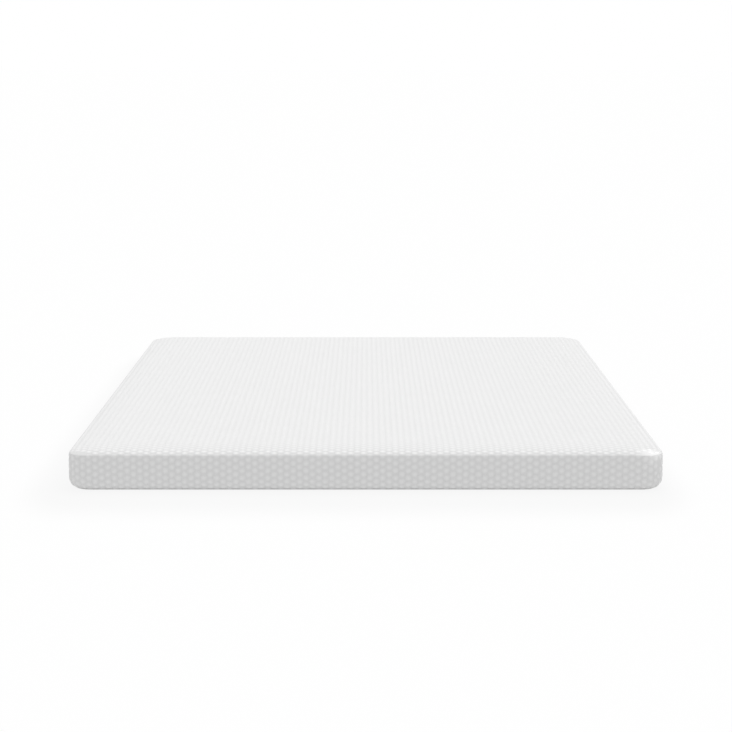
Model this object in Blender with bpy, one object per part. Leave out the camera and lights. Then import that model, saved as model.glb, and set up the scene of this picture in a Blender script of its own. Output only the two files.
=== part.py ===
"""Mattress topper: a foam slab in a fitted stretch-knit cover, lying flat.

Metres, +Z up. The origin is the middle of the flat base, X runs across the
width and Y along the length. The slab is one closed solid: a stack of
rounded-rectangle rings, from the flat base, round the lower edge, up the band
and over the soft upper edge to the flat top.
"""

import math

import bmesh
import bpy

# Overall size
WIDTH = 1.400
LENGTH = 2.000
THICKNESS = 0.100

# Corners, seen from above
BAND_CORNER_RADIUS = 0.053
TOP_CORNER_RADIUS = 0.036
BASE_CORNER_RADIUS = 0.027

# Upper edge: the top falls away softly and turns tightly into the band
EDGE_INSET = 0.090
EDGE_DROP = 0.0175
EDGE_POWER = 2.1

# Lower edge: a plain quarter round
BASE_EDGE_RADIUS = 0.026

# How finely the round parts are cut
CORNER_STEPS = 12
UPPER_EDGE_STEPS = 16
LOWER_EDGE_STEPS = 8

COVER_COLOUR = (0.80, 0.80, 0.80, 1.0)
COVER_ROUGHNESS = 0.92


def clear_scene():
    for obj in list(bpy.data.objects):
        bpy.data.objects.remove(obj, do_unlink=True)


def knit_cover():
    material = bpy.data.materials.new("knit_cover")
    material.use_nodes = True
    shader = material.node_tree.nodes["Principled BSDF"]
    shader.inputs["Base Color"].default_value = COVER_COLOUR
    shader.inputs["Roughness"].default_value = COVER_ROUGHNESS
    shader.inputs["Metallic"].default_value = 0.0
    return material


def mix(start, end, share):
    return start + (end - start) * share


def lower_edge_sections():
    """(height, inset, corner radius) of each ring of the lower edge, from the base up."""
    sections = []
    for step in range(LOWER_EDGE_STEPS + 1):
        turn = math.radians(90) * step / LOWER_EDGE_STEPS
        height = BASE_EDGE_RADIUS * (1 - math.cos(turn))
        inset = BASE_EDGE_RADIUS * (1 - math.sin(turn))
        radius = mix(BAND_CORNER_RADIUS, BASE_CORNER_RADIUS, inset / BASE_EDGE_RADIUS)
        sections.append((height, inset, radius))
    return sections


def upper_edge_sections():
    """(height, inset, corner radius) of each ring of the upper edge, from the band up."""
    sections = []
    for step in range(UPPER_EDGE_STEPS + 1):
        turn = math.radians(90) * step / UPPER_EDGE_STEPS
        across = max(math.cos(turn), 0.0) ** (2 / EDGE_POWER)
        up = max(math.sin(turn), 0.0) ** (2 / EDGE_POWER)
        if step == UPPER_EDGE_STEPS:
            across = 0.0
        height = THICKNESS - EDGE_DROP * (1 - up)
        inset = EDGE_INSET * (1 - across)
        radius = mix(BAND_CORNER_RADIUS, TOP_CORNER_RADIUS, inset / EDGE_INSET)
        sections.append((height, inset, radius))
    return sections


def add_ring(mesh, height, inset, radius):
    """One rounded rectangle, anticlockwise from above."""
    arc_x = WIDTH / 2 - inset - radius
    arc_y = LENGTH / 2 - inset - radius
    ring = []
    for corner, (side_x, side_y) in enumerate(((1, 1), (-1, 1), (-1, -1), (1, -1))):
        for step in range(CORNER_STEPS + 1):
            angle = math.radians(90) * (corner + step / CORNER_STEPS)
            x = side_x * arc_x + radius * math.cos(angle)
            y = side_y * arc_y + radius * math.sin(angle)
            ring.append(mesh.verts.new((x, y, height)))
    return ring


def bridge(mesh, below, above):
    """Quads between two rings, facing out."""
    count = len(below)
    for i in range(count):
        j = (i + 1) % count
        mesh.faces.new((below[i], below[j], above[j], above[i]))


def build_topper():
    mesh = bmesh.new()
    sections = lower_edge_sections() + upper_edge_sections()
    rings = [add_ring(mesh, *section) for section in sections]
    for below, above in zip(rings, rings[1:]):
        bridge(mesh, below, above)
    mesh.faces.new(reversed(rings[0]))
    mesh.faces.new(rings[-1])
    data = bpy.data.meshes.new("topper")
    mesh.to_mesh(data)
    mesh.free()
    data.shade_smooth()
    topper = bpy.data.objects.new("topper", data)
    topper.data.materials.append(knit_cover())
    bpy.context.scene.collection.objects.link(topper)
    return topper


clear_scene()
build_topper()
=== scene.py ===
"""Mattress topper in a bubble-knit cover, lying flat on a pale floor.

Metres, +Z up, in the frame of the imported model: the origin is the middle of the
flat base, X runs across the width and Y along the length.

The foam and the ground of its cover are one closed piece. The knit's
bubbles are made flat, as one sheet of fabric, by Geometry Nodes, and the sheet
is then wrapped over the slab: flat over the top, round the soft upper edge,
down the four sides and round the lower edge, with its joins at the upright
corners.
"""

import math

import bmesh
import bpy
import numpy as np
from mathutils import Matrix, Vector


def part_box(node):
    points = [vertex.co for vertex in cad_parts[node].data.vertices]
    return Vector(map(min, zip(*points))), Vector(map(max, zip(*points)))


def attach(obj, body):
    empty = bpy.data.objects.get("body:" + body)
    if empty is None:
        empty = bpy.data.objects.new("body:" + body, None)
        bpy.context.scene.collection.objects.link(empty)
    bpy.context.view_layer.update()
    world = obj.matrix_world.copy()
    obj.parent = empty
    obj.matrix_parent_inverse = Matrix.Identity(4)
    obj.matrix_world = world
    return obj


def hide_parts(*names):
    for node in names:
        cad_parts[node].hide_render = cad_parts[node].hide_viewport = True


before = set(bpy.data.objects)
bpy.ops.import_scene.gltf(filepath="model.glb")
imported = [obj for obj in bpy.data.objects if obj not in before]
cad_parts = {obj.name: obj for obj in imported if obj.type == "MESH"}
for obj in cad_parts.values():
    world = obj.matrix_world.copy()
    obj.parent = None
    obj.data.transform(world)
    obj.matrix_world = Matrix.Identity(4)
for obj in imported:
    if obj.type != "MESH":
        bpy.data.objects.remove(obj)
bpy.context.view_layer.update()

# The slab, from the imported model
LOW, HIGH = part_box("topper")
WIDTH = HIGH.x - LOW.x
LENGTH = HIGH.y - LOW.y
THICKNESS = HIGH.z - LOW.z

# Its edges and corners, as in the part's source
BAND_CORNER_RADIUS = 0.053
TOP_CORNER_RADIUS = 0.036
EDGE_INSET = 0.090
EDGE_DROP = 0.0175
EDGE_POWER = 2.1
BASE_EDGE_RADIUS = 0.026

# How finely the edges and corners are worked out and cut
UPPER_EDGE_POINTS = 3001
LOWER_EDGE_POINTS = 601
HALVINGS = 40
UPPER_EDGE_RINGS = 49
LOWER_EDGE_RINGS = 17
CORNER_STEPS = 32

# The knit: bubbles in a regular honeycomb, in columns along the length
COLUMN_PITCH = 0.01492
ROW_PITCH = COLUMN_PITCH / math.sqrt(3)
FIRST_COLUMN = -0.0052
FIRST_ROW = -1.01165
BUBBLE_SPACING = 2 * ROW_PITCH

# One bubble: a low dome whose foot goes a little under the ground of the knit. BUBBLE_TIP
# keeps its spread from being divided by zero at the tip
BUBBLE_RADIUS = 0.0099
BUBBLE_HEIGHT = 0.0015
BUBBLE_SHOULDER = 1.9
BUBBLE_FULLNESS = 2.3
BUBBLE_FOOT = 0.00006
BUBBLE_TIP = 0.001
BUBBLE_SIDES = 10
BUBBLE_RINGS = 3
BUBBLE_VERTICES = BUBBLE_SIDES * BUBBLE_RINGS + 1
HEIGHT_VARIATION = 0.05
FIRST_SEED = 3

# How far the ground lies under the slab's surface, and the bubbles' least height off the floor
GROUND_DEPTH = 0.0012
FLOOR_CLEARANCE = 0.0001

# Where the relief flattens as the cover turns under, as shares of the lower edge's length
FLATTENING_STARTS = 0.45
FLATTENING_LENGTH = 0.45

# The bubbles are flatter round the tight turn at the top of the band
TURN_STRETCH = 0.55
TURN_MIDDLE = -0.001
TURN_REACH = 0.006

# Where panels meet: how far above the band the sides' panels start, how far round the lower
# edge they go, as a share of it, and how far they run past the joins at the corners
PANEL_START = 0.009
PANEL_END = 0.75
JOIN_OVERLAP = 0.004

# At the corners: how far in the bubbles are sorted one by one, how near the band those of the
# top may come, how far off a neighbour is looked for, and the least gap and size that are
# left, as shares of the full ones
CORNER_ZONE = 0.12
TOP_CLEARANCE = 0.006
NEIGHBOUR_REACH = 0.03
LEAST_GAP = 0.68
LEAST_SIZE = 0.12

# The stitches: upright wales of slanting loops, with fine fuzz on the yarn
WALE_PITCH = 0.00125
COURSE_PITCH = 0.00105
LOOP_SLANT = 0.45
WALE_SHARE = 0.6
LOOP_SHARE = 0.4
STITCH_BUMP = 0.35
STITCH_HEIGHT = 0.0003
FUZZ_BUMP = 0.4
FUZZ_SCALE = 900.0
CLOUD_SCALE = 9.0

# The yarn's tone, from deep to light, which also carries the painted light and shade below, and
# what each thing adds to it
DEEP_YARN_AND_SHADE = (0.70, 0.70, 0.70, 1.0)
LIGHT_YARN_AND_HIGHLIGHT = (0.94, 0.94, 0.94, 1.0)
MIDDLE_TONE = 0.40
STITCH_TONE = 0.25
FUZZ_TONE = 0.06
CLOUD_TONE = 0.08

# Painted light and shade: the bubbles' crowns are painted lighter and the ground between them
# darker, and the crowns get a painted highlight most of all over the soft upper edge, between
# these shares of its drop
CROWN_PAINTED_LIGHT = 0.46
PAINTED_SHADE_SHARE = 0.31
CROWN_LIGHT_STARTS = 0.22
CROWN_LIGHT_FULL = 1.22
EDGE_PAINTED_HIGHLIGHT = 0.9
EDGE_HIGHLIGHT_STARTS = 0.15
EDGE_HIGHLIGHT_FULL = 0.45
EDGE_HIGHLIGHT_FADES = 0.58
EDGE_HIGHLIGHT_ENDS = 0.80

# How matt the knit is
KNIT_ROUGHNESS = 0.84
FUZZ_ROUGHNESS = 0.12
KNIT_GLOSS = 0.25
KNIT_SHEEN = 0.12
SHEEN_ROUGHNESS = 0.6

# A baked picture's layout: the sides are cut into strips, more along the length than the
# width, each with its margins and depth, and the bubbles' flat feet share one spot
SHEET_MARGIN = 0.002
STRIP_MARGIN = 0.012
STRIP_ABOVE = 0.024
STRIP_DEPTH = 0.128
END_STRIPS = 2
SIDE_STRIPS = 3
ALL_STRIPS = 2 * (END_STRIPS + SIDE_STRIPS)
FOOT_SPOT = 0.0005

# The camera, at the photograph's angle
CAMERA_PLACE = (0.0007, -5.656, 0.998)
CAMERA_PITCH = 8.565
CAMERA_LENS = 100.0
CAMERA_SENSOR = 36.0
CAMERA_RANGE = (0.05, 1000.0)

# The light, as the brightness that each gives a white surface facing it
SKY_LIGHT = 0.69
KEY_LIGHT = 0.44
KEY_FROM = (0.10, 0.205, 0.54)
KEY_SOFTNESS = 45.0

# A small lamp that picks out the right front upper corner
CORNER_PLACE = (1.90, -0.93, 0.95)
CORNER_AIM = (0.672, -0.985, 0.090)
CORNER_CONE = 2.0
CORNER_POWER = 30.0
CORNER_LAMP_RADIUS = 0.01

# The floor, lit from below: the glow that the camera sees, the share of it that lights the
# slab, and where that share starts and is full, from the slab's outline
FLOOR_REACH = 200.0
FLOOR_WHITE = 0.06
FLOOR_GLOW = 0.93
FLOOR_LIGHT = 0.83
GLOW_STARTS = -0.034
GLOW_FULL = 0.005

# The halo round the slab, a painted soft shadow where the floor glows a little less: how much
# is left in it, where it starts to fade and how far it reaches in front, and how much narrower
# it is at the sides and shifted to the left
HALO_SHARE = 0.95
HALO_STARTS = 0.10
HALO_REACH = 0.36
HALO_NARROWER = 2.5
HALO_SHIFT = 0.025

BLACK = (0, 0, 0, 1)
WHITE = (1, 1, 1, 1)
PANELS = range(5)
TOP, FRONT, RIGHT, BACK, LEFT = PANELS


class Field:
    """A value that varies over a surface. Python's operators on it add Math nodes."""

    def __init__(self, tree, socket):
        self.tree = tree
        self.socket = socket

    def maths(self, operation, *values):
        settings = {"operation": operation}
        return self.tree.add("ShaderNodeMath", settings, dict(enumerate(values)))

    def __add__(self, other):
        return self.maths("ADD", self, other)

    __radd__ = __add__

    def __sub__(self, other):
        return self.maths("SUBTRACT", self, other)

    def __rsub__(self, other):
        return self.maths("SUBTRACT", other, self)

    def __mul__(self, other):
        return self.maths("MULTIPLY", self, other)

    __rmul__ = __mul__

    def __truediv__(self, other):
        return self.maths("DIVIDE", self, other)

    def __pow__(self, power):
        return self.maths("POWER", self, power)

    def __abs__(self):
        return self.maths("ABSOLUTE", self)

    def fraction(self):
        return self.maths("FRACT", self)

    def sine(self):
        return self.maths("SINE", self)

    def at_least(self, least):
        return self.maths("MAXIMUM", self, least)

    def rise(self, low, high):
        """0 up to low and 1 from high, with an eased step between."""
        return self.tree.add(
            "ShaderNodeMapRange",
            {"interpolation_type": "SMOOTHSTEP"},
            {"Value": self, "From Min": low, "From Max": high, "To Min": 0.0, "To Max": 1.0},
        )

    def parts(self):
        return [self.tree.add("ShaderNodeSeparateXYZ", {}, {0: self}, out) for out in range(3)]

    def also(self, output):
        """Another output of the node that this comes from."""
        return Field(self.tree, self.socket.node.outputs[output])


class Tree:
    """A node tree, with one method that adds any node."""

    def __init__(self, tree):
        self.tree = tree

    def add(self, kind, settings, inputs, output=0):
        node = self.tree.nodes.new(kind)
        for name, value in settings.items():
            setattr(node, name, value)
        for name, value in inputs.items():
            if isinstance(value, Field):
                self.tree.links.new(value.socket, node.inputs[name])
            else:
                node.inputs[name].default_value = value
        return None if output is None else Field(self, node.outputs[output])

    def vector(self, x, y, z):
        return self.add("ShaderNodeCombineXYZ", {}, {0: x, 1: y, 2: z})


# ---------------------------------------------------------------- the slab's surface


def edge_profile():
    """The edge's section, from where the top is flat, over the edge, down the band
    and round the lower edge: inset, height and outward normal at each length along it,
    with zero where the upper edge meets the band."""
    turn = np.radians(np.linspace(90, 0, UPPER_EDGE_POINTS))
    across = np.clip(np.cos(turn), 0, 1) ** (2 / EDGE_POWER)
    up = np.clip(np.sin(turn), 0, 1) ** (2 / EDGE_POWER)
    across[0] = 0.0
    inset = EDGE_INSET * (1 - across)
    height = THICKNESS - EDGE_DROP * (1 - up)
    low_turn = np.radians(np.linspace(0, 90, LOWER_EDGE_POINTS))
    low_inset = BASE_EDGE_RADIUS * (1 - np.cos(low_turn))
    low_height = BASE_EDGE_RADIUS * (1 - np.sin(low_turn))
    inset = np.concatenate([inset, low_inset])
    height = np.concatenate([height, low_height])
    steps = np.hypot(np.diff(inset), np.diff(height))
    length = np.concatenate([[0.0], np.cumsum(steps)])
    length -= length[len(turn) - 1]
    out_slope = -np.gradient(height, length)
    up_slope = -np.gradient(inset, length)
    size = np.hypot(out_slope, up_slope)
    return length, inset, height, out_slope / size, up_slope / size


EDGE_LENGTH, EDGE_INSETS, EDGE_HEIGHTS, EDGE_OUT, EDGE_UP = edge_profile()
UPPER_EDGE_LENGTH = -EDGE_LENGTH[0]
BAND_LENGTH = THICKNESS - EDGE_DROP - BASE_EDGE_RADIUS
LOWER_EDGE_LENGTH = EDGE_LENGTH[-1] - BAND_LENGTH
UPPER_PART = EDGE_LENGTH <= 0.0
HALF_SHEET_X = WIDTH / 2 - EDGE_INSET + UPPER_EDGE_LENGTH
HALF_SHEET_Y = LENGTH / 2 - EDGE_INSET + UPPER_EDGE_LENGTH
CORNER_REACH = BAND_CORNER_RADIUS * math.radians(45)


def relief(length):
    """How much of the relief is left: it flattens as the cover turns under."""
    share = (length - BAND_LENGTH) / LOWER_EDGE_LENGTH
    ease = np.clip((share - FLATTENING_STARTS) / FLATTENING_LENGTH, 0, 1)
    return 1 - ease * ease * (3 - 2 * ease)


def crown_left(length):
    """How much of the bubbles' height is left: the cover is stretched, and its bubbles
    are flatter, round the tight turn at the top of the band."""
    return 1 - TURN_STRETCH * np.exp(-(((length - TURN_MIDDLE) / TURN_REACH) ** 2))


def ring_radius(inset):
    """The corner radius, seen from above, of the upper edge at that inset."""
    return BAND_CORNER_RADIUS + (TOP_CORNER_RADIUS - BAND_CORNER_RADIUS) * inset / EDGE_INSET


def outside_ring(x, y, inset):
    """How far a point is outside the rounded rectangle at that inset, and which way is out."""
    radius = ring_radius(inset)
    past_x = np.abs(x) - (WIDTH / 2 - inset - radius)
    past_y = np.abs(y) - (LENGTH / 2 - inset - radius)
    corner = (past_x > 0) & (past_y > 0)
    reach = np.where(corner, np.hypot(past_x, past_y), np.maximum(past_x, past_y))
    safe = np.where(corner, np.maximum(reach, 1e-9), 1.0)
    out_x = np.where(corner, past_x / safe, past_x > past_y) * np.sign(x)
    out_y = np.where(corner, past_y / safe, past_x <= past_y) * np.sign(y)
    return reach - radius, out_x, out_y


def inset_of(x, y):
    """How far in from the band a point of the top lies, up to where the top is flat."""
    low = np.zeros(len(x))
    high = np.full(len(x), EDGE_INSET)
    for _ in range(HALVINGS):
        middle = (low + high) / 2
        inside = outside_ring(x, y, middle)[0] < 0
        low = np.where(inside, middle, low)
        high = np.where(inside, high, middle)
    return (low + high) / 2


def on_upper_edge(inset, values):
    """What the values along the edge's section are at that inset of the upper edge."""
    return np.interp(inset, EDGE_INSETS[UPPER_PART][::-1], values[UPPER_PART][::-1])


def top_surface(x, y):
    """Height and normal of the top and its soft edge above the points (x, y), and how
    far along the edge they are."""
    inset = inset_of(x, y)
    _, out_x, out_y = outside_ring(x, y, inset)
    shrink = (ring_radius(EDGE_INSET) - ring_radius(0.0)) / EDGE_INSET
    both = np.abs(out_x) + np.abs(out_y)
    steepness = 1 / ((1 + shrink) * both - shrink)
    out = on_upper_edge(inset, EDGE_OUT) * steepness
    up = on_upper_edge(inset, EDGE_UP)
    normal = np.stack([out_x * out, out_y * out, up], axis=1)
    normal /= np.linalg.norm(normal, axis=1)[:, None]
    return on_upper_edge(inset, EDGE_HEIGHTS), normal, on_upper_edge(inset, EDGE_LENGTH)


def inset_along(length):
    """How far in from the band the edge's section is at that length along it."""
    return np.interp(length, EDGE_LENGTH, EDGE_INSETS)


def lay_on_top(u, v):
    """Where points of the flat sheet come to lie on the top and its soft edge."""
    x = np.sign(u) * (WIDTH / 2 - inset_along(np.abs(u) - HALF_SHEET_X))
    y = np.sign(v) * (LENGTH / 2 - inset_along(np.abs(v) - HALF_SHEET_Y))
    x = np.where(np.abs(u) < WIDTH / 2 - EDGE_INSET, u, x)
    y = np.where(np.abs(v) < LENGTH / 2 - EDGE_INSET, v, y)
    height, normal, down = top_surface(x, y)
    return np.stack([x, y, height], axis=1), normal, down


def lay_on_side(along, across, half_along, half_across, half_sheet):
    """Where points of the flat sheet come to lie on one side: along it and round its
    two upright corners, and across its edge, down the band and round the lower edge."""
    down = np.abs(across) - half_sheet
    inset = inset_along(down)
    straight = half_along - BAND_CORNER_RADIUS
    turn = np.maximum(np.abs(along) - straight, 0) / BAND_CORNER_RADIUS
    radius = BAND_CORNER_RADIUS - inset
    place_along = np.sign(along) * (np.minimum(np.abs(along), straight) + radius * np.sin(turn))
    place_across = np.sign(across) * (half_across - BAND_CORNER_RADIUS + radius * np.cos(turn))
    out_along = np.sign(along) * np.sin(turn)
    out_across = np.sign(across) * np.cos(turn)
    return down, place_along, place_across, out_along, out_across


def wrap(panel, u, v):
    """Where points of the flat sheet come to lie on the slab, with the outward normal
    there, and how far down the edge they are."""
    if panel == TOP:
        return lay_on_top(u, v)
    if panel in (FRONT, BACK):
        down, x, y, out_x, out_y = lay_on_side(u, v, WIDTH / 2, LENGTH / 2, HALF_SHEET_Y)
    else:
        down, y, x, out_y, out_x = lay_on_side(v, u, LENGTH / 2, WIDTH / 2, HALF_SHEET_X)
    height = np.interp(down, EDGE_LENGTH, EDGE_HEIGHTS)
    out = np.interp(down, EDGE_LENGTH, EDGE_OUT)
    up = np.interp(down, EDGE_LENGTH, EDGE_UP)
    normal = np.stack([out_x * out, out_y * out, up], axis=1)
    above = down < 0
    if above.any():
        height[above], normal[above], down[above] = top_surface(x[above], y[above])
    return np.stack([x, y, height], axis=1), normal, down


# ---------------------------------------------------------------- where the bubbles go


def sheet_points():
    """The honeycomb over the whole flat sheet, and the panel each point belongs to."""
    reach = BAND_LENGTH + LOWER_EDGE_LENGTH * PANEL_END
    columns = int((HALF_SHEET_X + reach) / COLUMN_PITCH) + 2
    rows = int((HALF_SHEET_Y + reach) / ROW_PITCH) + 2
    first = round(FIRST_ROW / ROW_PITCH)
    row, column = np.meshgrid(np.arange(-rows, rows + 1), np.arange(-columns, columns + 1))
    kept = (row + column + first) % 2 == 0
    row, column = row[kept], column[kept]
    u = FIRST_COLUMN + column * COLUMN_PITCH
    v = FIRST_ROW - first * ROW_PITCH + row * ROW_PITCH
    past_x = np.abs(u) - HALF_SHEET_X
    past_y = np.abs(v) - HALF_SHEET_Y
    panel = np.full(len(u), -1)
    panel[(past_x <= -PANEL_START) & (past_y <= -PANEL_START)] = TOP
    join_x = WIDTH / 2 - BAND_CORNER_RADIUS + CORNER_REACH + JOIN_OVERLAP
    join_y = LENGTH / 2 - BAND_CORNER_RADIUS + CORNER_REACH + JOIN_OVERLAP
    along_end = (past_y > -PANEL_START) & (past_y < reach) & (np.abs(u) < join_x)
    along_side = (past_x > -PANEL_START) & (past_x < reach) & (np.abs(v) < join_y)
    panel[along_side] = np.where(u[along_side] > 0, RIGHT, LEFT)
    panel[along_end] = np.where(v[along_end] > 0, BACK, FRONT)
    on = panel >= 0
    return u[on], v[on], panel[on]


def place_bubbles():
    """The bubbles' places on the sheet. Where panels meet at the corners, a bubble that
    would lie on another is left out, and those that are close are made smaller."""
    u, v, panel = sheet_points()
    spot = np.zeros((len(u), 3))
    for each in PANELS:
        mine = panel == each
        spot[mine] = wrap(each, u[mine], v[mine])[0]
    top = panel == TOP
    inset = np.full(len(u), EDGE_INSET)
    inset[top] = inset_of(spot[top, 0], spot[top, 1])
    near_end = np.abs(spot[:, 1]) > LENGTH / 2 - CORNER_ZONE
    near_corner = near_end & (np.abs(spot[:, 0]) > WIDTH / 2 - CORNER_ZONE)
    keep = ~near_corner
    size = np.ones(len(u))
    turns = [near_corner & (panel == each) for each in (FRONT, BACK, RIGHT, LEFT, TOP)]
    settled = []
    for i in np.concatenate([np.flatnonzero(turn) for turn in turns]):
        if inset[i] < TOP_CLEARANCE:
            continue
        near = [j for j in settled if abs(spot[i, 0] - spot[j, 0]) < NEIGHBOUR_REACH]
        gaps = [np.linalg.norm(spot[i] - spot[j]) for j in near]
        if gaps and min(gaps) < BUBBLE_SPACING * LEAST_GAP:
            continue
        settled.append(i)
        keep[i] = True
    for i in settled:
        others = [j for j in settled if panel[j] != panel[i]]
        if others:
            gap = np.linalg.norm(spot[others] - spot[i], axis=1).min()
            size[i] = min(1.0, LEAST_SIZE + (1 - LEAST_SIZE) * gap / BUBBLE_SPACING)
    return u[keep], v[keep], panel[keep], size[keep]


# ---------------------------------------------------------------- the knit's finish


def knit_finish():
    """Matt white stretch knit: rows of stitches, with painted light on the bubbles' crowns,
    most of all over the soft upper edge as a painted highlight, and painted shade in the ground
    between them."""
    material = bpy.data.materials.new("knit_cover")
    material.use_nodes = True
    shader = material.node_tree.nodes["Principled BSDF"]
    shader.inputs["Metallic"].default_value = 0.0
    shader.inputs["Sheen Weight"].default_value = KNIT_SHEEN
    shader.inputs["Sheen Roughness"].default_value = SHEEN_ROUGHNESS
    shader.inputs["Specular IOR Level"].default_value = KNIT_GLOSS
    knit = Tree(material.node_tree)

    place = knit.add("ShaderNodeUVMap", {"uv_map": "knit"}, {})
    u, v, _ = place.parts()
    wale = abs((u / WALE_PITCH).fraction() - 0.5) * 2
    loops = ((v / COURSE_PITCH + wale * LOOP_SLANT) * (2 * math.pi)).sine()
    stitch = (1 - wale ** 3) * WALE_SHARE + loops * LOOP_SHARE

    noise = "ShaderNodeTexNoise"
    fuzz = knit.add(noise, {}, {"Vector": place, "Scale": FUZZ_SCALE, "Detail": 2.0})
    cloud = knit.add(noise, {}, {"Vector": place, "Scale": CLOUD_SCALE, "Detail": 3.0})
    puff = knit.add("ShaderNodeAttribute", {"attribute_name": "puff"}, {}, 2)
    # Painted light and shade: crowns painted lighter and the ground between bubbles painted
    # darker, in place of the shade in the hollows
    crown = puff.rise(CROWN_LIGHT_STARTS, CROWN_LIGHT_FULL) - PAINTED_SHADE_SHARE
    _, _, height = knit.add("ShaderNodeTexCoord", {}, {}, "Object").parts()
    dropped = (THICKNESS - height) / EDGE_DROP
    # Painted highlight: the crowns over the soft upper edge, where the surface turns towards
    # the light, are painted lighter still
    over_edge = dropped.rise(EDGE_HIGHLIGHT_STARTS, EDGE_HIGHLIGHT_FULL)
    over_edge = over_edge * (1 - dropped.rise(EDGE_HIGHLIGHT_FADES, EDGE_HIGHLIGHT_ENDS))
    painted_edge_light = 1 + over_edge * EDGE_PAINTED_HIGHLIGHT
    uneven = (fuzz - 0.5) * FUZZ_TONE + (cloud - 0.5) * CLOUD_TONE
    tone = MIDDLE_TONE + crown * painted_edge_light * CROWN_PAINTED_LIGHT + stitch * STITCH_TONE + uneven
    mix = {"data_type": "RGBA"}
    colour = knit.add("ShaderNodeMix", mix, {0: tone, 6: DEEP_YARN_AND_SHADE, 7: LIGHT_YARN_AND_HIGHLIGHT}, 2)
    roughness = KNIT_ROUGHNESS + fuzz * FUZZ_ROUGHNESS
    surface = {"Strength": STITCH_BUMP, "Distance": STITCH_HEIGHT}
    bump = knit.add("ShaderNodeBump", {}, {**surface, "Height": stitch + fuzz * FUZZ_BUMP})
    links = material.node_tree.links
    links.new(colour.socket, shader.inputs["Base Color"])
    links.new(roughness.socket, shader.inputs["Roughness"])
    links.new(bump.socket, shader.inputs["Normal"])
    return material


def floor_finish():
    """Matt white, lit from below as a light table is: the camera sees its glow all over, a
    little less of it round the slab as a painted soft shadow, and what the slab covers doesn't
    light it."""
    material = bpy.data.materials.new("white_floor")
    material.use_nodes = True
    shader = material.node_tree.nodes["Principled BSDF"]
    shader.inputs["Base Color"].default_value = (FLOOR_WHITE, FLOOR_WHITE, FLOOR_WHITE, 1.0)
    shader.inputs["Roughness"].default_value = 1.0
    shader.inputs["Specular IOR Level"].default_value = 0.0
    shader.inputs["Emission Strength"].default_value = FLOOR_GLOW
    table = Tree(material.node_tree)
    x, y, _ = table.add("ShaderNodeTexCoord", {}, {}, "Object").parts()
    straight_x = WIDTH / 2 - BAND_CORNER_RADIUS
    straight_y = LENGTH / 2 - BAND_CORNER_RADIUS
    past_x = (abs(x) - straight_x).at_least(0.0)
    past_y = (abs(y) - straight_y).at_least(0.0)
    reach = (past_x * past_x + past_y * past_y) ** 0.5 - BAND_CORNER_RADIUS
    uncovered = reach.rise(GLOW_STARTS, GLOW_FULL)
    # Painted soft shadow: the glow is a little less round the slab, reaching furthest in front
    # and to the left
    aside = (abs(x + HALO_SHIFT) - straight_x).at_least(0.0) * HALO_NARROWER
    away = (aside * aside + past_y * past_y) ** 0.5 - BAND_CORNER_RADIUS
    clear = HALO_SHARE + away.rise(HALO_STARTS, HALO_REACH) * (1 - HALO_SHARE)
    seen = table.add("ShaderNodeLightPath", {}, {}, "Is Camera Ray")
    share = clear * (seen + (1 - seen) * uncovered * FLOOR_LIGHT)
    mix = {"data_type": "RGBA"}
    glow = table.add("ShaderNodeMix", mix, {0: share, 6: BLACK, 7: WHITE}, 2)
    material.node_tree.links.new(glow.socket, shader.inputs["Emission Color"])
    return material


# ---------------------------------------------------------------- the bubbles


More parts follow.
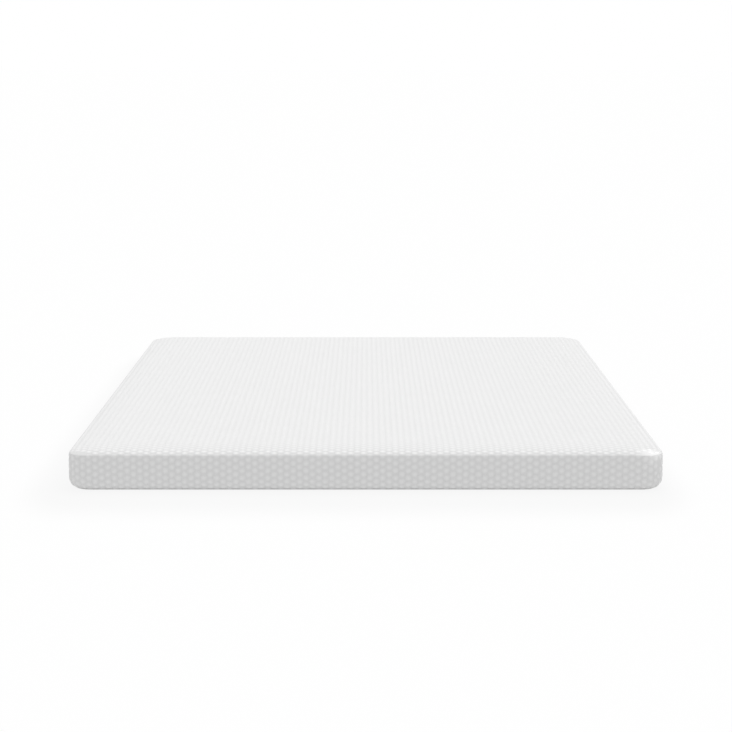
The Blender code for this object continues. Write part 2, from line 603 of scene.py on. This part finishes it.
def bubble_sheet_tree():
    """Bubbles on the points of a flat sheet: each a low closed dome that runs out flat
    at its rim, a little higher or lower from one to the next."""
    group = bpy.data.node_groups.new("bubble_sheet", "GeometryNodeTree")
    sizes = ("Bubble Radius", "Bubble Height", "Foot Depth", "Height Variation")
    names = ("Points", *sizes, "Seed", "Finish")
    add_socket = group.interface.new_socket
    add_socket(name="Points", in_out="INPUT", socket_type="NodeSocketGeometry")
    for name in sizes:
        add_socket(name=name, in_out="INPUT", socket_type="NodeSocketFloat")
    add_socket(name="Seed", in_out="INPUT", socket_type="NodeSocketInt")
    add_socket(name="Finish", in_out="INPUT", socket_type="NodeSocketMaterial")
    add_socket(name="Bubbles", in_out="OUTPUT", socket_type="NodeSocketGeometry")
    tree = Tree(group)
    points, radius, height, foot, variation, seed, finish = (
        tree.add("NodeGroupInput", {}, {}, name) for name in names
    )

    cone = tree.add(
        "GeometryNodeMeshCone",
        {"fill_type": "NGON"},
        {
            "Vertices": BUBBLE_SIDES,
            "Side Segments": BUBBLE_RINGS,
            "Radius Top": 0.0,
            "Radius Bottom": 1.0,
            "Depth": 1.0,
        },
    )
    side = cone.also("Side")
    x, y, climb = tree.add("GeometryNodeInputPosition", {}, {}).parts()
    spread = radius * (1 - climb ** BUBBLE_SHOULDER) / (1 - climb).at_least(BUBBLE_TIP)
    first_ring = 1 / BUBBLE_RINGS
    crown = 1 - (1 - ((climb - first_ring) / (1 - first_ring)).at_least(0.0)) ** BUBBLE_FULLNESS
    skirt = (1 - climb / first_ring).at_least(0.0)
    rise = height * crown - foot * skirt
    puff = tree.add(
        "GeometryNodeStoreNamedAttribute",
        {"data_type": "FLOAT", "domain": "POINT"},
        {"Geometry": cone, "Name": "puff", "Value": climb},
    )
    bubble = tree.add(
        "GeometryNodeSetPosition",
        {},
        {"Geometry": puff, "Position": tree.vector(x * spread, y * spread, rise)},
    )
    smooth = tree.add(
        "GeometryNodeSetShadeSmooth",
        {"domain": "FACE"},
        {"Geometry": bubble, "Shade Smooth": side},
    )

    size = tree.add("GeometryNodeInputNamedAttribute", {"data_type": "FLOAT"}, {"Name": "size"})
    lift = tree.add(
        "FunctionNodeRandomValue",
        {"data_type": "FLOAT"},
        {2: 1 - variation, 3: 1 + variation, "Seed": seed},
        1,
    )
    placed = tree.add(
        "GeometryNodeInstanceOnPoints",
        {},
        {"Points": points, "Instance": smooth, "Scale": tree.vector(size, size, size * lift)},
    )
    joined = tree.add("GeometryNodeRealizeInstances", {}, {"Geometry": placed})
    finished = tree.add("GeometryNodeSetMaterial", {}, {"Geometry": joined, "Material": finish})
    tree.add("NodeGroupOutput", {}, {"Bubbles": finished}, None)
    return group


def set_inputs(modifier, values):
    """Sets a modifier's inputs by their names in its tree."""
    for item in modifier.node_group.interface.items_tree:
        if item.in_out == "INPUT" and item.name in values:
            modifier[item.identifier] = values[item.name]


def flat_bubbles(name, tree, u, v, panel, size, seed, finish):
    """A flat sheet of bubbles as a plain mesh."""
    mesh = bpy.data.meshes.new(name + "_points")
    mesh.from_pydata([(a, b, 0.0) for a, b in zip(u, v)], [], [])
    sizes = mesh.attributes.new("size", "FLOAT", "POINT")
    sizes.data.foreach_set("value", size.astype(np.float32))
    panels = mesh.attributes.new("panel", "INT", "POINT")
    panels.data.foreach_set("value", panel.astype(np.int32))
    carrier = bpy.data.objects.new(name + "_points", mesh)
    bpy.context.scene.collection.objects.link(carrier)
    modifier = carrier.modifiers.new("bubbles", "NODES")
    modifier.node_group = tree
    values = {
        "Bubble Radius": BUBBLE_RADIUS,
        "Bubble Height": BUBBLE_HEIGHT,
        "Foot Depth": BUBBLE_FOOT,
        "Height Variation": HEIGHT_VARIATION,
        "Seed": seed,
        "Finish": finish,
    }
    set_inputs(modifier, values)
    evaluated = carrier.evaluated_get(bpy.context.evaluated_depsgraph_get())
    sheet = bpy.data.meshes.new_from_object(evaluated)
    bpy.data.objects.remove(carrier, do_unlink=True)
    bpy.data.meshes.remove(mesh)
    sheet.name = name
    return sheet


def bake_layout(panel, u, v, centre_u, centre_v):
    """Places for a baked picture: the top as it lies, and the sides cut into
    strips that are stacked."""
    if (panel == TOP).all():
        low = np.array([u.min(), v.min()]) - SHEET_MARGIN
        high = np.array([u.max(), v.max()]) + SHEET_MARGIN
        return (np.stack([u, v], axis=1) - low) / (high - low)
    ends = (panel == FRONT) | (panel == BACK)
    along = np.where(ends, u, v)
    middle = np.where(ends, centre_u, centre_v)
    down = np.where(ends, np.abs(v) - HALF_SHEET_Y, np.abs(u) - HALF_SHEET_X)
    earlier = [panel == FRONT, panel == BACK, panel == RIGHT]
    starts = [0, END_STRIPS, 2 * END_STRIPS]
    first = np.select(earlier, starts, 2 * END_STRIPS + SIDE_STRIPS)
    cuts = np.where(ends, END_STRIPS, SIDE_STRIPS)
    reach = np.where(ends, WIDTH / 2, LENGTH / 2)
    strip = np.clip(np.floor((middle + reach) / (2 * reach) * cuts), 0, cuts - 1)
    start = strip * 2 * reach / cuts - reach
    across = (along - start + STRIP_MARGIN) / (WIDTH / 2 + 2 * STRIP_MARGIN)
    up = (first + strip + (down + STRIP_ABOVE) / STRIP_DEPTH) / ALL_STRIPS
    return np.stack([across, up], axis=1)


def wrap_bubbles(name, sheet):
    """Wraps a flat sheet of bubbles over the slab, and keeps the flat places as its maps."""
    count = len(sheet.vertices)
    flat = np.zeros(count * 3)
    sheet.vertices.foreach_get("co", flat)
    flat = flat.reshape(-1, 3)
    panel = np.zeros(count, dtype=np.int32)
    sheet.attributes["panel"].data.foreach_get("value", panel)
    each_bubble = flat.reshape(-1, BUBBLE_VERTICES, 3)
    middle = (each_bubble.max(axis=1) + each_bubble.min(axis=1)) / 2
    centre_u, centre_v, _ = np.repeat(middle, BUBBLE_VERTICES, axis=0).T

    placed = np.zeros_like(flat)
    for each in PANELS:
        mine = panel == each
        if mine.any():
            spot, normal, down = wrap(each, flat[mine, 0], flat[mine, 1])
            crown = np.maximum(flat[mine, 2], 0) * crown_left(down)
            foot = np.minimum(flat[mine, 2], 0)
            lift = (crown + foot - GROUND_DEPTH) * relief(down)
            placed[mine] = spot + normal * lift[:, None]
    placed[:, 2] = np.maximum(placed[:, 2], FLOOR_CLEARANCE)
    sheet.vertices.foreach_set("co", placed.ravel())

    corner_vertex = np.zeros(len(sheet.loops), dtype=np.int32)
    sheet.loops.foreach_get("vertex_index", corner_vertex)
    knit_map = sheet.uv_layers.new(name="knit")
    knit_map.data.foreach_set("uv", flat[corner_vertex, :2].ravel())
    layout = bake_layout(panel, flat[:, 0], flat[:, 1], centre_u, centre_v)[corner_vertex]
    for face in sheet.polygons:
        if face.loop_total == BUBBLE_SIDES:
            layout[face.loop_start : face.loop_start + BUBBLE_SIDES] = FOOT_SPOT
    bake_map = sheet.uv_layers.new(name="OFBake")
    bake_map.data.foreach_set("uv", layout.ravel())
    sheet.uv_layers.active = knit_map
    sheet.attributes.remove(sheet.attributes["panel"])
    sheet.attributes.remove(sheet.attributes["size"])
    sheet.update()
    piece = bpy.data.objects.new(name, sheet)
    bpy.context.scene.collection.objects.link(piece)
    return piece


def build_bubbles(finish):
    """The bubbles of the whole cover, in pieces: four quarters of the top, and the sides."""
    tree = bubble_sheet_tree()
    u, v, panel, size = place_bubbles()
    parts = {
        "bubbles_top_front_left": (panel == TOP) & (u < 0) & (v < 0),
        "bubbles_top_front_right": (panel == TOP) & (u >= 0) & (v < 0),
        "bubbles_top_back_left": (panel == TOP) & (u < 0) & (v >= 0),
        "bubbles_top_back_right": (panel == TOP) & (u >= 0) & (v >= 0),
        "bubbles_sides": panel != TOP,
    }
    pieces = []
    for seed, (name, mine) in enumerate(parts.items(), FIRST_SEED):
        points = (u[mine], v[mine], panel[mine], size[mine])
        sheet = flat_bubbles(name, tree, *points, seed, finish)
        pieces.append(wrap_bubbles(name, sheet))
    return pieces


# ---------------------------------------------------------------- the foam and the ground


def ring_sections():
    """(height, inset, corner radius) of the ground's rings, from the base up. The ground
    lies GROUND_DEPTH under the slab's surface, and comes out to it at the base."""
    lower = BAND_LENGTH + LOWER_EDGE_LENGTH * np.linspace(1, 0, LOWER_EDGE_RINGS)
    turn = np.radians(np.linspace(0, 90, UPPER_EDGE_RINGS))
    upper_inset = EDGE_INSET * (1 - np.clip(np.cos(turn), 0, 1) ** (2 / EDGE_POWER))
    upper = on_upper_edge(upper_inset, EDGE_LENGTH)
    lengths = np.concatenate([lower, [BAND_LENGTH * 2 / 3, BAND_LENGTH / 3], upper])
    depth = GROUND_DEPTH * relief(lengths)
    sunk = depth * np.interp(lengths, EDGE_LENGTH, EDGE_OUT)
    lowered = depth * np.interp(lengths, EDGE_LENGTH, EDGE_UP)
    inset = inset_along(lengths)
    height = np.interp(lengths, EDGE_LENGTH, EDGE_HEIGHTS) - lowered
    radius = np.where(lengths > BAND_LENGTH, BAND_CORNER_RADIUS - inset, ring_radius(inset))
    return zip(height, inset + sunk, radius - sunk)


def build_foam(finish):
    """The foam slab in the ground of its cover, one closed solid. Its stitches run flat over
    the top and the base, and along and down the sides."""
    mesh = bmesh.new()
    rings = []
    for height, inset, radius in ring_sections():
        ring = []
        for corner, (side_x, side_y) in enumerate(((1, 1), (-1, 1), (-1, -1), (1, -1))):
            for step in range(CORNER_STEPS + 1):
                angle = math.radians(90) * (corner + step / CORNER_STEPS)
                x = side_x * (WIDTH / 2 - inset - radius) + radius * math.cos(angle)
                y = side_y * (LENGTH / 2 - inset - radius) + radius * math.sin(angle)
                ring.append(mesh.verts.new((x, y, max(height, 0.0))))
        rings.append(ring)
    for below, above in zip(rings, rings[1:]):
        for i in range(len(below)):
            j = (i + 1) % len(below)
            mesh.faces.new((below[i], below[j], above[j], above[i])).smooth = True
    mesh.faces.new(reversed(rings[0])).smooth = False
    mesh.faces.new(rings[-1]).smooth = True
    mesh.normal_update()
    knit_map = mesh.loops.layers.uv.new("knit")
    for face in mesh.faces:
        faces_x, faces_y, faces_z = (abs(part) for part in face.normal)
        for loop in face.loops:
            x, y, z = loop.vert.co
            if faces_z > max(faces_x, faces_y):
                loop[knit_map].uv = (x, y)
            elif faces_y > faces_x:
                loop[knit_map].uv = (x, z)
            else:
                loop[knit_map].uv = (y, z)
    data = bpy.data.meshes.new("cover_and_foam")
    mesh.to_mesh(data)
    mesh.free()
    # With no puff, the ground's knit gets the painted shade of the hollows between the bubbles
    data.attributes.new("puff", "FLOAT", "POINT")
    data.materials.append(finish)
    foam = bpy.data.objects.new("cover_and_foam", data)
    bpy.context.scene.collection.objects.link(foam)
    return foam


# ---------------------------------------------------------------- the stage


def build_floor():
    """A wide flat floor for the slab to lie on."""
    mesh = bpy.data.meshes.new("floor")
    near, far = -FLOOR_REACH, FLOOR_REACH
    corners = [(near, near, 0), (far, near, 0), (far, far, 0), (near, far, 0)]
    mesh.from_pydata(corners, [], [(0, 1, 2, 3)])
    mesh.materials.append(floor_finish())
    floor = bpy.data.objects.new("floor", mesh)
    bpy.context.scene.collection.objects.link(floor)


def hang_lamp(lamp, place, aim):
    """Hangs a lamp where the camera doesn't see it, and turns it to where it shines."""
    light = bpy.data.objects.new(lamp.name, lamp)
    light.location = place
    light.rotation_mode = "QUATERNION"
    light.rotation_quaternion = (Vector(place) - Vector(aim)).to_track_quat("Z", "Y")
    light.visible_camera = False
    bpy.context.scene.collection.objects.link(light)


def light_studio():
    """A soft even sky, white where the camera sees it, a soft key from above, and a small
    lamp that picks out the right front upper corner."""
    world = bpy.data.worlds.new("studio")
    bpy.context.scene.world = world
    world.use_nodes = True
    world.node_tree.nodes.clear()
    studio = Tree(world.node_tree)
    lit = studio.add("ShaderNodeBackground", {}, {"Color": WHITE, "Strength": SKY_LIGHT})
    seen = studio.add("ShaderNodeBackground", {}, {"Color": WHITE, "Strength": 1.0})
    to_camera = studio.add("ShaderNodeLightPath", {}, {}, "Is Camera Ray")
    sky = studio.add("ShaderNodeMixShader", {}, {0: to_camera, 1: lit, 2: seen})
    studio.add("ShaderNodeOutputWorld", {}, {"Surface": sky}, None)

    key = bpy.data.lights.new("key", "SUN")
    key.energy = math.pi * KEY_LIGHT
    key.angle = math.radians(KEY_SOFTNESS)
    hang_lamp(key, KEY_FROM, (0, 0, 0))

    corner = bpy.data.lights.new("corner", "SPOT")
    corner.spot_size = math.radians(CORNER_CONE)
    corner.spot_blend = 1.0
    corner.shadow_soft_size = CORNER_LAMP_RADIUS
    corner.energy = CORNER_POWER
    hang_lamp(corner, CORNER_PLACE, CORNER_AIM)


def place_camera():
    """A long lens in front of the slab and a little above it, looking slightly down."""
    lens = bpy.data.cameras.new("camera")
    lens.lens = CAMERA_LENS
    lens.sensor_width = CAMERA_SENSOR
    lens.clip_start, lens.clip_end = CAMERA_RANGE
    camera = bpy.data.objects.new("camera", lens)
    camera.location = CAMERA_PLACE
    camera.rotation_euler = (math.radians(90 - CAMERA_PITCH), 0.0, 0.0)
    bpy.context.scene.collection.objects.link(camera)
    bpy.context.scene.camera = camera


place_camera()
light_studio()
build_floor()

knit = knit_finish()
foam = build_foam(knit)
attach(foam, "root")
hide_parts("topper")

for bubbles in build_bubbles(knit):
    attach(bubbles, "root")

bpy.context.scene.view_settings.view_transform = "Standard"
